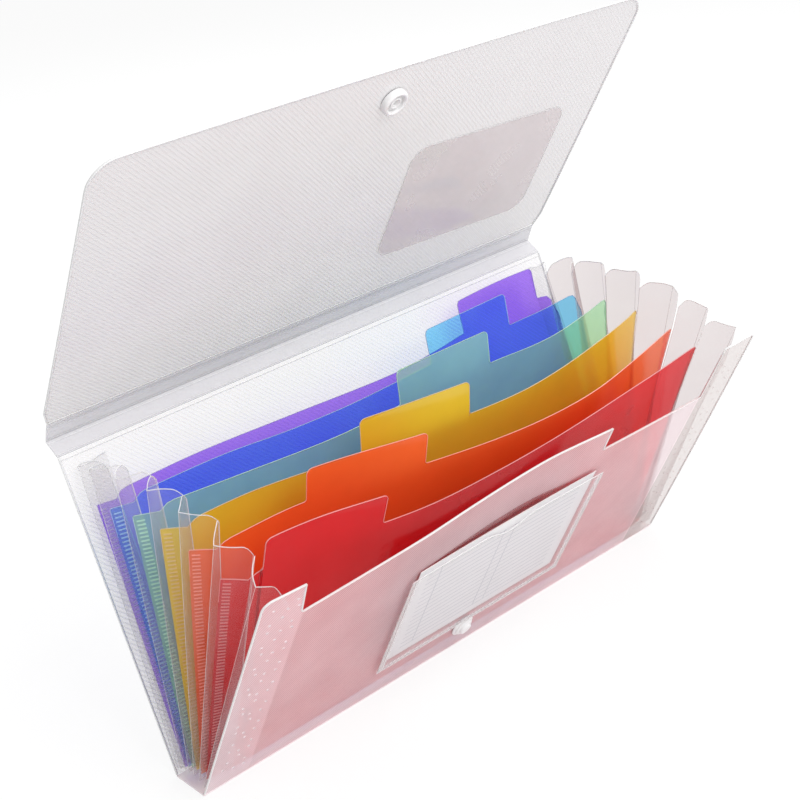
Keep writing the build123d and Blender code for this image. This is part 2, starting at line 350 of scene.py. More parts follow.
def clear_plastic(
    name, tint, body, haze, rough=0.25, rib=0.0, rib_angle=45.0, pitch=2.2, wave=0.0, gloss=0.5, adjust=None
):
    """See-through plastic: a tinted clear sheet mixed with a milky, glossy one, whose share is the haze.

    rib is the strength of fine ribs, which lie a pitch apart. wave is the height of slow ripples. adjust
    changes the haze by its place on the flat map.
    """
    haze_spread, most_haze, rib_height = 0.03, 0.97, 0.05
    material, look = new_material(name)
    coord = look.add("ShaderNodeTexCoord").outputs
    cloud = look.noise(coord["Object"], 45.0, 3.0)
    share = look.ramp(cloud, 0.3, 0.7, haze - haze_spread, haze + haze_spread)
    height = look.maths("MULTIPLY", look.noise(coord["Object"], 16.0, 1.0), wave)
    if rib:
        turned = look.add(
            "ShaderNodeMapping", {"Vector": coord["UV"], "Rotation": (0, 0, radians(rib_angle))}
        )
        waves_per_unit = 2 * pi / (20 * pitch * flat_mm)
        bands = look.add(
            "ShaderNodeTexWave",
            {"Vector": turned.outputs["Vector"], "Scale": waves_per_unit, "Distortion": 0.0},
            bands_direction="X",
        )
        ribs = look.maths("POWER", bands.outputs["Fac"], 4.0)
        share = look.maths("ADD", share, look.ramp(ribs, 0.0, 1.0, -rib / 2, 2 * rib))
        height = look.maths("ADD", height, look.maths("MULTIPLY", ribs, rib_height))
    if adjust:
        share = adjust(look, coord["UV"], share)
    bump = look.add("ShaderNodeBump", {"Strength": 1.0, "Distance": mm, "Height": height})
    clear = look.add("ShaderNodeBsdfTransparent", {"Color": (*tint, 1)})
    milk = look.add(
        "ShaderNodeBsdfPrincipled",
        {
            "Base Color": (*body, 1),
            "Roughness": rough,
            "Specular IOR Level": gloss,
            "Normal": bump.outputs["Normal"],
        },
    )
    share = look.maths("MINIMUM", share, most_haze)
    sheet = look.mix(share, clear.outputs["BSDF"], milk.outputs["BSDF"])
    look.add("ShaderNodeOutputMaterial", {"Surface": sheet})
    return material


def solid_plastic(name, colour, rough=0.35, grain=0.02):
    """Opaque moulded plastic with a faint grain."""
    material, look = new_material(name)
    coord = look.add("ShaderNodeTexCoord").outputs
    darker = [c * (1 - grain) for c in colour]
    lighter = [min(1, c * (1 + grain)) for c in colour]
    tone = look.blend(look.noise(coord["Object"], 300.0), darker, lighter)
    body = look.add("ShaderNodeBsdfPrincipled", {"Base Color": tone, "Roughness": rough})
    look.add("ShaderNodeOutputMaterial", {"Surface": body.outputs["BSDF"]})
    return material


def ruled_card(name):
    """White card with grey ruled rows and three upright lines, placed by the flat map."""
    row_pitch, row_share, upright_half = 3.1, 0.16, 0.28
    ruled_half, ruled_low, ruled_top = 41.5, 31.0, 81.5
    white, grey = (0.72, 0.71, 0.72), (0.50, 0.50, 0.54)
    material, look = new_material(name)
    coord = look.add("ShaderNodeTexCoord").outputs
    parts = look.add("ShaderNodeSeparateXYZ", {"Vector": coord["UV"]})
    x, y = parts.outputs["X"], parts.outputs["Y"]
    row = look.maths("FRACT", look.maths("MULTIPLY", y, 1 / (row_pitch * flat_mm)))
    line = look.maths("LESS_THAN", row, row_share)
    inside = look.maths("LESS_THAN", look.maths("ABSOLUTE", x), ruled_half * flat_mm)
    below = look.maths("LESS_THAN", y, ruled_top * flat_mm)
    above = look.maths("GREATER_THAN", y, ruled_low * flat_mm)
    ruled = look.maths("MULTIPLY", below, above)
    ink = look.maths("MULTIPLY", look.maths("MULTIPLY", line, inside), ruled)
    for upright_x in (-34.5, -1.0, 5.0):
        away = look.maths("ABSOLUTE", look.maths("SUBTRACT", x, upright_x * flat_mm))
        upright = look.maths("LESS_THAN", away, upright_half * flat_mm)
        ink = look.maths("MAXIMUM", ink, look.maths("MULTIPLY", upright, ruled))
    fibre = look.ramp(look.noise(coord["Object"], 500.0), 0.0, 1.0, 0.8, 1.1)
    tone = look.blend(look.maths("MULTIPLY", ink, fibre), white, grey)
    body = look.add("ShaderNodeBsdfPrincipled", {"Base Color": tone, "Roughness": 0.7})
    look.add("ShaderNodeOutputMaterial", {"Surface": body.outputs["BSDF"]})
    return material


def paler(colour, white):
    """A colour with a share of white in it."""
    return tuple(white + (1 - white) * c for c in colour)


# Sheets of the cover
flap_plastic = clear_plastic(
    "flap_plastic", (0.945, 0.935, 0.94), (0.62, 0.60, 0.61), 0.60, 0.22,
    rib=0.08, rib_angle=-45, pitch=1.5, wave=0.15
)
back_plastic = clear_plastic(
    "back_plastic", (0.96, 0.95, 0.955), (0.81, 0.80, 0.81), 0.5, 0.06,
    rib=0.10, rib_angle=-45, pitch=1.6, wave=0.06, gloss=0.8
)
front_plastic = clear_plastic(
    "front_plastic", (0.97, 0.95, 0.96), (0.89, 0.725, 0.765), 0.46, 0.3,
    rib=0.09, rib_angle=45, pitch=1.5, wave=0.15, adjust=front_haze
)
strip_plastic = clear_plastic(
    "strip_plastic", (0.92, 0.88, 0.87), (0.60, 0.55, 0.54), 0.5, 0.3,
    rib=0.05, rib_angle=45, pitch=1.5, wave=0.15
)
spine_plastic = clear_plastic("spine_plastic", (0.96, 0.96, 0.97), (0.72, 0.71, 0.735), 0.6, 0.25, wave=0.1)
base_plastic = clear_plastic("base_plastic", (0.97, 0.93, 0.94), (0.92, 0.83, 0.85), 0.85, 0.3, wave=0.1)
patch_plastic = clear_plastic(
    "patch_plastic", (0.95, 0.92, 0.925), (0.67, 0.61, 0.62), 0.40, 0.08, wave=0.08, gloss=0.9
)
# Whitish rims of the cover and the card, and the scored lines: partly their own cut edges and scores, partly
# painted highlights.
cut_edge_and_highlight = clear_plastic("cut_edge_and_highlight", (0.98, 0.98, 0.98), (0.90, 0.90, 0.90), 0.8, 0.3)
pressed_mark = clear_plastic("pressed_mark", (0.97, 0.97, 0.97), (0.88, 0.86, 0.87), 0.4, 0.2)
faint_mark = clear_plastic("faint_mark", (0.97, 0.95, 0.95), (0.74, 0.70, 0.69), 0.2, 0.3)

# Film of the gussets and of the label pocket
# The gusset films are copies of one film, with haze and tint set by place as painted light and shade. The
# film is darker on the right over open white. It is less milky in the first pocket, in the back pockets on
# the left and on the left's fore leaves, so that shade doesn't turn it grey.
left_film = clear_plastic(
    "left_film", (0.93, 0.925, 0.93), (0.66, 0.645, 0.65), 0.27, 0.12, wave=0.4, gloss=0.9
)
left_back_film = clear_plastic(
    "left_back_film", (0.94, 0.935, 0.94), (0.66, 0.645, 0.65), 0.15, 0.12, wave=0.4, gloss=0.9
)
left_front_film = clear_plastic(
    "left_front_film", (0.96, 0.95, 0.955), (0.74, 0.70, 0.71), 0.08, 0.12, wave=0.4, gloss=0.9
)
right_film = clear_plastic(
    "right_film", (0.81, 0.755, 0.755), (0.70, 0.66, 0.66), 0.10, 0.12, wave=0.3, gloss=0.9
)
rear_film = clear_plastic(
    "rear_film", (0.95, 0.945, 0.95), (0.72, 0.71, 0.71), 0.08, 0.12, wave=0.3, gloss=0.9
)
pocket_plastic = clear_plastic(
    "pocket_plastic", (0.97, 0.965, 0.97), (0.80, 0.79, 0.80), 0.14, 0.1, wave=0.2, gloss=0.8
)
# Bright rims of the films, the patch and the pocket: partly whitish cut edges and creases, partly painted
# highlights.
film_edge_and_highlight = clear_plastic("film_edge_and_highlight", (0.97, 0.97, 0.97), (0.90, 0.90, 0.90), 0.55, 0.2)
weld_plastic = clear_plastic("weld_plastic", (0.97, 0.96, 0.965), (0.86, 0.83, 0.84), 0.4, 0.2, wave=0.3)

# Moulded snaps and the card
snap_plastic = solid_plastic("snap_plastic", (0.76, 0.755, 0.76), 0.3)
card_paper = ruled_card("card_paper")

# Dividers: tint, body and haze of each colour
divider_looks = {
    "purple": ((0.40, 0.21, 0.92), (0.40, 0.22, 0.85), 0.10),
    "blue": ((0.27, 0.72, 0.99), (0.20, 0.52, 0.92), 0.08),
    "green": ((0.60, 0.90, 0.54), (0.42, 0.88, 0.68), 0.34),
    "yellow": ((0.92, 0.68, 0.07), (0.82, 0.57, 0.032), 0.74),
    "orange": ((0.97, 0.25, 0.07), (0.99, 0.17, 0.045), 0.55),
    "red": ((0.86, 0.06, 0.07), (0.72, 0.02, 0.028), 0.42),
}
tints, tint_edges_and_highlights, tint_rungs = {}, {}, {}
for colour, (tint, body, haze) in divider_looks.items():
    tints[colour] = clear_plastic(f"tint_{colour}", tint, body, haze, 0.12, wave=0.12, gloss=0.6)
    tint_rungs[colour] = clear_plastic(f"rung_{colour}", tint, paler(body, 0.26), 0.75, 0.25)
    # Paler rim of each divider: partly its cut edge, partly a painted highlight.
    tint_edges_and_highlights[colour] = clear_plastic(f"edge_{colour}", paler(tint, 0.4), paler(body, 0.34), 0.8, 0.3)

# Cover: back panel
crease_gap = 0.4
rim_width, rim_thick = 0.6, 0.8


def back_surf(x, s):
    """A point on the back."""
    return spot(back_sheet, x, s)


def make_back():
    net = Net()
    top = finer([(-half_width, back_height), (half_width, back_height)], 5)
    skin(net, top, lambda x: crease_gap, back_surf, 24)
    left = [(-half_width, crease_gap), (-half_width, back_height)]
    right = [(half_width, back_height), (half_width, crease_gap)]
    for side in (left, right):
        edge(net, finer(side, 6), back_surf, rim_width, rim_thick)
    dress(net, "back_look", [back_plastic, cut_edge_and_highlight], "back", "cover", "back_panel")


make_back()

# Cover: flap, which is a little wider than the back, with round free corners
flap_flare, flare_end = 2.4, 8.0
flap_half = half_width + flap_flare
flap_corner = 11.0
flap_bend, flap_bend_height, flap_stretch = 1.9, 125, 0.0115


def flap_spot(x, s, v=0.0):
    """A point on the flap, which bends back a little towards its free edge."""
    u = x / half_width
    bend = -flap_bend * (1 - 0.35 * u * u) * (max(s, 0) / flap_bend_height) ** 1.5
    return place(crease_flap, flap_lean, x, s * (1 + flap_stretch * (1 - 0.45 * u * u)), v + bend)


def flap_foot(x):
    """The lower end of the flap, which rises along the flare at its sides."""
    return crease_gap + max(0.0, abs(x) - half_width) / flap_flare * (flare_end - crease_gap)


def make_flap():
    turn = flap_length - flap_corner
    outline = [(-half_width, crease_gap), (-flap_half, flare_end)]
    outline += arc(-flap_half + flap_corner, turn, flap_corner, 180, 90, 10)
    outline += arc(flap_half - flap_corner, turn, flap_corner, 90, 0, 10)
    outline += [(flap_half, flare_end), (half_width, crease_gap)]
    outline = finer(outline, 4)
    net = Net()
    skin(net, [p for p in outline if p[1] > turn - 0.01], flap_foot, flap_spot, 24)
    edge(net, outline, flap_spot, rim_width, rim_thick)
    dress(net, "flap_look", [flap_plastic, cut_edge_and_highlight], "flap", "cover", "flap_panel")


make_flap()

# Smooth patch on the inside of the flap
patch_half_wide, patch_half_high, patch_corner = 44.5, 30.5, 8.0
patch_x, patch_s = 68.0, 22.0 + patch_half_high
patch_skew, patch_raise, patch_rim, patch_thick = 2.0, 0.15, 0.35, 0.2
patch_left, patch_right = patch_x - patch_half_wide + patch_corner, patch_x + patch_half_wide - patch_corner
patch_low, patch_high = patch_s - patch_half_high + patch_corner, patch_s + patch_half_high - patch_corner


def patch_foot(x):
    """The lower edge of the patch, with its round corners."""
    d = max(0.0, abs(x - patch_x) - (patch_half_wide - patch_corner))
    return patch_low - max(0.0, patch_corner * patch_corner - d * d) ** 0.5


def patch_surf(x, s):
    """A point on the patch, which lies a little askew on the flap."""
    skew = patch_skew * (1 - (x - patch_x + patch_half_wide) / patch_half_wide)
    return flap_spot(x, s + skew, half_cover + patch_raise)


def make_patch():
    top = arc(patch_left, patch_high, patch_corner, 180, 90, 8)
    top += arc(patch_right, patch_high, patch_corner, 90, 0, 8)
    top = finer(top, 4)
    ring = top + arc(patch_right, patch_low, patch_corner, 0, -90, 8)
    ring += arc(patch_left, patch_low, patch_corner, -90, -180, 8)
    net = Net()
    skin(net, top, patch_foot, patch_surf, 14)
    edge(net, finer(ring + [ring[0]], 4), patch_surf, patch_rim, patch_thick)
    dress(net, "patch_look", [patch_plastic, film_edge_and_highlight], "flap", "patch", "flap_patch")


make_patch()

# Cover: front panel, slightly bowed, with two ears and a stepped top edge
front_knots = (
    (-131, 0.2), (-101, 0.8), (-56, 0.5), (-30, -0.9), (-4, -2.2), (16, -2.7), (50, -1.7), (110, -1.3),
    (131, -1.6),
)
front_bow_height = 112
ear_in, ear_corner, ear_top = 110.5, 3.0, 130.0
left_top, left_corner = 126.4, 4
left_ear_side = ((-2.4, left_top), (-0.2, 109.5), (0.6, 108.5))
step_x, step_top, step_low = 49.5, 113.5, 101.0
middle_top, middle_slope, middle_rise = 111.0, 2.5, 3.0
front_foot, outline_foot = 0.2, 1.2
front_rim, front_thick = 0.45, 0.7


def front_bow(x, s):
    """How far the front stands out of its plane."""
    return through(front_knots, x) * (max(s, 0) / front_bow_height) ** 1.5


def front_surf(x, s):
    """A point on the front."""
    return spot(front_sheet, x, s, front_bow(x, s))


def front_path():
    """The outline of the front from its left foot over the top to its right foot."""
    path = [(-half_width, outline_foot)]
    path += arc(-half_width + left_corner, left_top - left_corner, left_corner, 180, 90, 8)
    path += [(-ear_in + dx, s) for dx, s in left_ear_side]
    middle, half_run, steps = (step_x - ear_in) / 2, (step_x + ear_in) / 2, 40
    for k in range(1, steps):
        u = -1 + 2 * k / steps
        path.append((middle + u * half_run, middle_top + middle_slope * u + middle_rise * (1 - u * u)))
    path += [(step_x, step_top), (step_x, step_low), (ear_in, step_low), (ear_in, ear_top)]
    path += arc(half_width - ear_corner, ear_top - ear_corner, ear_corner, 90, 0, 8)
    path += [(half_width, outline_foot)]
    return finer(path, 4)


def make_front():
    near = 0.01
    outline = front_path()
    tops = [p for p in outline if p[1] > step_low - 1.0]
    ear = min(k for k, p in enumerate(tops) if p[0] > ear_in - near and p[1] > ear_top - near)
    net = Net()
    skin(net, tops[:ear], lambda x: front_foot, front_surf, 26)
    skin(net, tops[ear:], lambda x: front_foot, front_surf, 26, 2)
    edge(net, outline, front_surf, front_rim, front_thick)
    looks = [front_plastic, cut_edge_and_highlight, strip_plastic]
    flatten(dress(net, "front_look", looks, "front", "cover", "front_panel"), front_sheet)


make_front()

# Small pressed marks on the welded side strips of the front and the back, in columns that waver a little
mark_half_long, mark_half_wide, mark_half_deep = 0.5, 0.22, 0.42


def press(net, sheet, surf, x, s, kind=0):
    """One mark, a short bar across the strip."""
    a, b = surf(x - mark_half_long, s), surf(x + mark_half_long, s)
    bar(net, a, b, Vector((0, 0, mark_half_wide)), front_of(leans[sheet]) * mark_half_deep, kind)


def make_front_marks():
    first_x, first_s, column_pitch, mark_pitch, waver, stagger = 114.0, 9.0, 5.2, 4.4, 0.8, 1.4
    net = Net()
    for side in (-1, 1):
        for column in range(3):
            for k in range(26):
                if (k + column) % 3 == 2:
                    continue
                x = side * (first_x + column_pitch * column + waver * sin(2.3 * k))
                s = first_s + mark_pitch * k + stagger * (column % 2)
                press(net, front_sheet, front_surf, x, s, 0 if side < 0 else 1)
    obj = dress(net, "front_marks", [pressed_mark, faint_mark], "front", "cover")
    flatten(obj, front_sheet)


def make_back_marks():
    first_x, first_s, column_pitch, mark_pitch, waver = 116.0, 10.0, 6.0, 4.9, 0.7
    net = Net()
    for side in (-1, 1):
        for column in range(2):
            for k in range(24):
                x = side * (first_x + column_pitch * column + waver * sin(2.1 * k))
                press(net, back_sheet, back_surf, x, first_s + mark_pitch * k)
    dress(net, "back_marks", [pressed_mark], "back", "cover")


make_front_marks()
make_back_marks()

# Scored lines beside the creases of the spine, and the materials of the strips that the frame gives
score_in = 1.3
scores = (
    ("back", crease_back, leans[0], (back_height - score_in,)),
    ("spine_low", crease_lower, spine_lower_lean, (score_in, spine_lower_width - score_in)),
    ("spine_up", crease_middle, spine_upper_lean, (score_in, spine_upper_width - score_in)),
    ("flap", crease_flap, flap_lean, (score_in,)),
)


def make_score(body, base, lean, heights):
    net = Net()
    up = place(base, lean, 0, 1) - place(base, lean, 0, 0)
    for s in heights:
        a, b = place(base, lean, -half_width, s), place(base, lean, half_width, s)
        bar(net, a, b, up * mark_half_wide, front_of(lean) * mark_half_deep)
    dress(net, f"score_{body}", [cut_edge_and_highlight], body, "cover")


for score in scores:
    make_score(*score)
strips = {"bottom_strip": base_plastic, "spine_lower": spine_plastic, "spine_upper": spine_plastic}
for node, plastic in strips.items():
    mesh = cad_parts[node].data
    mesh.materials.clear()
    mesh.materials.append(plastic)

# Folds of the film gussets: the film meets a divider at its inner fold and turns back at its outer one
fold_foot, fold_top, fold_out = 115.5, 119.5, 130.5
sheet_top = 114.5
film_height = 128.0

# Outer fold of each pleat at its top: how far out it is, and its share of the way to the next sheet
fold_left = (
    (126.5, 0.24), (131.0, 0.56), (130.8, 0.62), (130.0, 0.60), (130.1, 0.57), (130.0, 0.55), (129.5, 0.66)
)
fold_right = (
    (130.5, 0.12), (130.5, 0.40), (127.2, 0.67), (126.0, 0.82), (126.0, 0.84), (126.8, 0.70), (127.8, 0.50)
)


def fold_in(s):
    """How far out the inner fold is."""
    return fold_foot + (fold_top - fold_foot) * s / sheet_top


def outer(k, side, s):
    """The outer fold of the film between sheets k and k + 1."""
    x, share = (fold_left if side < 0 else fold_right)[k]
    rise = min(max(s, 0) / film_height, 1)
    x = side * (fold_out + (x - fold_out) * rise)
    return spot(k, x, s).lerp(spot(k + 1, x, s), 0.5 + (share - 0.5) * rise)


# Dividers with bowed faces, tabs and side flanges. Each bow is given at the top edge, as (across, out) knots
bows = {
    "purple": ((-119.5, -1), (-80, -3), (-39, 3), (10, 10.5), (40, 5.5), (62, -1), (95, -5.5), (119.5, -3)),
    "blue": (
        (-119.5, 1), (-80, 2), (-52, 8), (-25, 10.5), (0, 9.5), (30, 6.5), (75, 4), (96, 4), (119.5, 1.5),
    ),
    "green": (
        (-119.5, 2), (-88, 7), (-46, 12.5), (-10, 11.5), (40, 12), (60, 14), (76, 13.5), (99, 8.8),
        (119.5, 3.2),
    ),
    "yellow": (
        (-119.5, 1.6), (-96, 1.9), (-79, 4.2), (-48, 10.3), (4, 18), (30, 19.8), (56, 17.6), (86, 12.2),
        (108, 7.2), (119.5, 3.4),
    ),
    "orange": ((-119.5, 0), (-82, 0.6), (-32, 10.4), (0, 15.8), (28, 18), (56, 17), (86, 11.8), (119.5, 4.6)),
    "red": (
        (-119.5, -0.5), (-108, -0.5), (-90, 1.2), (-62, 6.2), (-40, 8.6), (-10, 9), (17, 8.3), (42, 6.8),
        (69, 4.6), (90, 2.9), (119.5, 0),
    ),
}
tab_places = (87.4, 49.6, 12.6, -22.4, -56.6, -90.0)
tab_half, tab_top = 24.8, 129.0
flange, flange_top, right_flange_end = 10.0, 111.5, 104.0
flange_start, flange_reach = 100.0, 0.78
flange_behind, flange_behind_more, flange_rise = 0.12, 0.33, 90
divider_foot, divider_rim, divider_thick = 1.6, 0.16, 0.34


def divider_bow(i, x, s):
    """How far divider i stands out of its plane."""
    return through(bows[chain[i]], x) * (min(max(s, 0), sheet_top) / sheet_top) ** 1.5


def divider_surf(i):
    """The surface of divider i: its bowed face, and past its folds the flanges, close behind the film."""
    out = front_of(leans[i])

    def surf(x, s):
        side = 1 if x > 0 else -1
        u = abs(x) / fold_top
        if u <= 1:
            return spot(i, side * u * fold_in(s), s, divider_bow(i, x, s))
        w = (abs(x) - fold_top) / flange
        fold = spot(i, side * fold_in(s), s, divider_bow(i, side * fold_top, s))
        behind = flange_behind + flange_behind_more * min(1, 3 * w)
        rise = min(1, 0.2 + max(s, 0) / flange_rise)
        return fold.lerp(outer(i - 1, side, s), flange_reach * w) - out * behind * rise

    return surf


def divider_outline(tab_x):
    """The top edge from the left flange over the tab to the right flange."""
    left, right, end = tab_x - tab_half, tab_x + tab_half, fold_top + flange
    foot_r, left_r, right_r = 0.9, 2.4, 2.2
    path = [(-end, flange_start), (-end, flange_top - 0.5), (-end + 0.5, flange_top)]
    path += [(-fold_top - 1.0, flange_top), (-fold_top + 2, sheet_top - 0.5), (-fold_top + 5, sheet_top)]
    path += arc(left - foot_r, sheet_top + foot_r, foot_r, -90, 0, 3)
    path += arc(left + left_r, tab_top - left_r, left_r, 180, 90, 6)
    path += arc(right - right_r, tab_top - right_r, right_r, 90, 0, 6)
    path += arc(right + foot_r, sheet_top + foot_r, foot_r, 180, 270, 3)
    path += [(fold_top - 5, sheet_top), (fold_top - 2, sheet_top - 0.5), (fold_top + 1.0, flange_top)]
    path += [(end - 0.5, right_flange_end), (end, right_flange_end - 1.0), (end, flange_start)]
    return finer(path, 3.0)


def make_divider(i, colour, surf):
    outline = divider_outline(tab_places[i - 1])
    net = Net()
    skin(net, outline, lambda x: divider_foot, surf, 26)
    edge(net, outline, surf, divider_rim, divider_thick)
    looks = [tints[colour], tint_edges_and_highlights[colour]]
    obj = dress(net, f"divider_{colour}_look", looks, colour, f"tint_{colour}", f"divider_{colour}")
    flatten(obj, i)


def make_ladder(i, colour, surf):
    """The welded rungs up both flanges of a divider."""
    rungs, low, high = 64, 5.0, {-1: 109.0, 1: 99.0}
    half_wide, half_deep = 0.36, 0.4
    net = Net()
    for side in (-1, 1):
        start, middle, end = (side * (fold_top + flange * share) for share in (0.62, 0.7, 0.9))
        for k in range(rungs):
            s = low + (high[side] - low) * k / (rungs - 1)
            a, b = surf(start, s), surf(end, s)
            up = (surf(middle, s + 1) - surf(middle, s)).normalized()
            normal = (b - a).cross(up).normalized()
            bar(net, a, b, up * half_wide, normal * half_deep)
    flatten(dress(net, f"ladder_{colour}", [tint_rungs[colour]], colour, f"tint_{colour}"), i)


for i, colour in enumerate(colours, 1):
    surf = divider_surf(i)
    make_divider(i, colour, surf)
    make_ladder(i, colour, surf)

# Film gussets: one pleat for each pocket and side, made of a rear and a fore leaf that meet at the outer fold
film_foot = 2.5
leaf_width, leaf_columns, leaf_rows = 13.0, 12, 24
back_weld_left, back_weld_right, front_weld = 112.0, 121.0, 117.5
back_clear, front_clear, divider_clear = 0.7, 0.8, 0.1


def fold_point(i, side, s, last):
    """Where the film meets sheet i, as the last sheet of its pocket or the first."""
    if i == back_sheet:
        return spot(i, side * (back_weld_left if side < 0 else back_weld_right), s, back_clear)
    if i == front_sheet:
        return spot(i, side * front_weld, s, front_bow(side * front_weld, s) - front_clear)
    clear = -divider_clear if last else divider_clear
    return spot(i, side * fold_in(s), s, divider_bow(i, side * fold_top, s) + clear)


def pleat_surf(i, side):
    """The surface of a pleat. q runs from 0 on sheet i - 1 through 1 on the outer fold to 2 on sheet i."""
    sway_out, sway_ahead = 0.7, 0.5

    def surf(q, s):
        fold = outer(i - 1, side, s)
        if q <= 1:
            p = fold_point(i - 1, side, s, False).lerp(fold, q)
        else:
            p = fold.lerp(fold_point(i, side, s, True), q - 1)
        t = (max(s, 0) / film_height) ** 2
        sway = sin(pi * (q % 1.0)) * sway_out * t
        return p + Vector((side * sway, sway_ahead * t * sin(5.1 * q + 1.7 * i + side), 0))

    return surf


def pleat_top(i, q):
    """The top edge of a pleat, which dips at the dividers and towards the front's ear."""
    dip_deep, dip_wide, ear_dip = 4.0, 4.0, 12.0
    dip = 0.0
    for end, near in ((0.0, i > 1), (2.0, i < pockets)):
        if near:
            d = abs(q - end) * leaf_width
            dip = max(dip, dip_deep * max(0.0, 1 - d / dip_wide) ** 2)
    if i == pockets:
        dip = max(dip, ear_dip * max(0.0, (q - 1.45) / 0.55) ** 1.5)
    return film_height - dip + 0.5 * sin(4.3 * q + 2.1 * i)


def film_of(i, side, half):
    """The film of a leaf: a copy of one film whose haze and tint are set by place, as painted light and
    shade.
    """
    if i == 1:
        return rear_film
    if side > 0:
        return right_film
    if half:
        return left_front_film
    return left_film if i > 3 else left_back_film


def leaf_net(i, side, half):
    """One leaf with a bright rim at its top and along its folds: partly the film's whitish cut edge and
    creases, partly a painted highlight.
    """
    rim_deep, rim_half, fold_half = 0.3, 0.15, 0.11
    surf = pleat_surf(i, side)
    lines, uvs = [], []
    for k in range(leaf_columns + 1):
        q = half + k / leaf_columns
        top = pleat_top(i, q)
        ss = [film_foot + (top - film_foot) * m / leaf_rows for m in range(leaf_rows + 1)]
        lines.append([surf(q, s) for s in ss])
        uvs.append([(q * leaf_width, s) for s in ss])
    net = Net()
    net.grid(lines, 0, uvs)
    rims = []
    for k, line in enumerate(lines):
        p = line[-1]
        below = p - (p - line[-2]).normalized() * rim_deep
        ahead = lines[min(k + 1, leaf_columns)][-1] - lines[max(k - 1, 0)][-1]
        n = ahead.cross(Vector((0, 0, 1))).normalized() * rim_half
        rims.append([p + n, below + n, below - n, p - n, p + n])
    net.grid(rims, 1)
    folds = [0, leaf_columns]
    if i == 1 and half == 0:
        folds = [leaf_columns]
    if i == pockets and half == 1:
        folds = [0]
    wide, deep = Vector((fold_half, 0, 0)), Vector((0, fold_half, 0))
    for column in folds:
        net.grid([[p + wide, p + deep, p - wide, p - deep, p + wide] for p in lines[column]], 1)
    return net


def make_pleat(i, side, word):
    gap = (spot(i, 0, film_height) - spot(i - 1, 0, film_height)).length
    for half, leaf in enumerate(("rear", "fore")):
        sheet = i - 1 + half
        nodes = [f"gusset_{word}_{i}"] if half else []
        looks = [film_of(i, side, half), film_edge_and_highlight]
        net = leaf_net(i, side, half)
        obj = dress(net, f"gusset_{word}_{i}_{leaf}", looks, chain[sheet], "film", *nodes)
        flatten(obj, sheet)


for i in range(1, pockets + 1):
    make_pleat(i, -1, "left")
    make_pleat(i, 1, "right")

# Label pocket with its welded band and thumb notch. Its corners hang a little askew on the front
pocket_half, pocket_low, pocket_top = 52.0, 22.5, 85.5
pocket_raise, pocket_dip, pocket_rim, pocket_thick = 1.6, 0.6, 0.4, 0.4
pocket_corners = ((-51.6, 22.7), (53.0, 22.9), (-52.4, 85.3), (53.4, 87.2))
corner_bows = [0.5 * front_bow(*corner) for corner in pocket_corners]
notch_half, notch_deep, notch_round = 11.5, 4.0, 3
band = 3.4


def pocket_spot(x, s, v):
    """A point on the flat chord of the pocket, in front of the bowed panel."""
    u, t = (x / pocket_half + 1) / 2, (s - pocket_low) / (pocket_top - pocket_low)
    share = ((1 - u) * (1 - t), u * (1 - t), (1 - u) * t, u * t)
    at = [sum(w * corner[k] for w, corner in zip(share, pocket_corners)) for k in (0, 1)]
    return spot(front_sheet, at[0], at[1], sum(w * bow for w, bow in zip(share, corner_bows)) + v)


def sag(x, s, depth):
    """How far the middle of the open top sinks in."""
    u, t = x / pocket_half, (s - pocket_low) / (pocket_top - pocket_low)
    return depth * (1 - u * u) * max(0.0, t) ** 2


def pocket_surf(x, s):
    """A point on the pocket's film."""
    return pocket_spot(x, s, half_cover + pocket_raise - sag(x, s, pocket_dip))


def pocket_path():
    """The open top edge from left to right, with the thumb notch in its middle."""
    reach, steps = notch_half + notch_round, 24
    path = [(-pocket_half, pocket_top), (-reach, pocket_top)]
    for k in range(1, steps):
        u = -1 + 2 * k / steps
        path.append((u * reach, pocket_top - notch_deep * (0.5 + 0.5 * cos(pi * u))))
    return finer(path + [(reach, pocket_top), (pocket_half, pocket_top)], 3)


def weld_pocket(net):
    """The welded band round the closed sides, with two rows of slanting marks."""
    out = front_of(leans[front_sheet])
    band_raise, slant, half_long, half_wide, half_deep = 0.06, 0.3, 0.5, 0.12, 0.25
    side_marks, foot_marks, mark_margin, mark_rows = 64, 104, 1.0, (0.9, 2.4)
    strips = (
        (-pocket_half, -pocket_half + band, pocket_low, pocket_top),
        (pocket_half - band, pocket_half, pocket_low, pocket_top),
        (-pocket_half + band, pocket_half - band, pocket_low, pocket_low + band),
    )
    for x0, x1, s0, s1 in strips:
        xs = [x0 + (x1 - x0) * k / 20 for k in range(21)]
        ss = [s0 + (s1 - s0) * k / 16 for k in range(17)]
        net.grid([[pocket_surf(x, s) + out * band_raise for s in ss] for x in xs], 2)
    for k in range(side_marks):
        s = pocket_low + mark_margin + (pocket_top - pocket_low - 2 * mark_margin) * k / (side_marks - 1)
        for side in (-1, 1):
            for row, inset in enumerate(mark_rows):
                x = side * (pocket_half - inset)
                lean = slant if (k + row) % 2 else -slant
                a, b = pocket_surf(x - half_long, s - lean), pocket_surf(x + half_long, s + lean)
                bar(net, a, b, Vector((0, 0, half_wide)), out * half_deep, 1)
    for k in range(foot_marks):
        x = -pocket_half + mark_margin + (2 * pocket_half - 2 * mark_margin) * k / (foot_marks - 1)
        for row, inset in enumerate(mark_rows):
            s = pocket_low + inset
            lean = slant if (k + row) % 2 else -slant
            a, b = pocket_surf(x - lean, s - half_long), pocket_surf(x + lean, s + half_long)
            bar(net, a, b, Vector((half_wide, 0, 0)), out * half_deep, 1)


